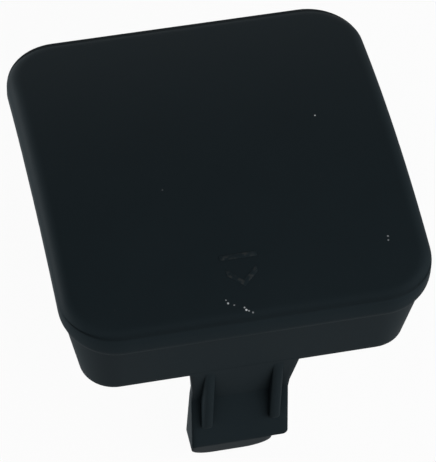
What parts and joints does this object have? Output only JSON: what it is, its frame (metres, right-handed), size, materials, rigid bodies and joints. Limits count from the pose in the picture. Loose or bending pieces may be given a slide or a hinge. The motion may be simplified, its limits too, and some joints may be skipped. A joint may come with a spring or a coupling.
{
  "type": "tow hook cover",
  "caption": "Square moulded cover with a crowned face, rounded corners, tapered hollow skirt and a ribbed snap tab; closes the towing-eye opening in a car bumper.",
  "frame": {"origin": "middle of the bumper opening, level with the rim's seat at the upper and lower edges", "axes": "+Z out of the face, +Y towards the upper edge, +X to the right of the face seen from outside"},
  "size_m": [0.08, 0.084, 0.0613],
  "materials": {
    "cover_plastic": "fine-grained satin black, as moulded, lightly scuffed"
  },
  "bodies": {
    "root": {"tow_hook_cover": "cover_plastic"}
  },
  "joints": []
}
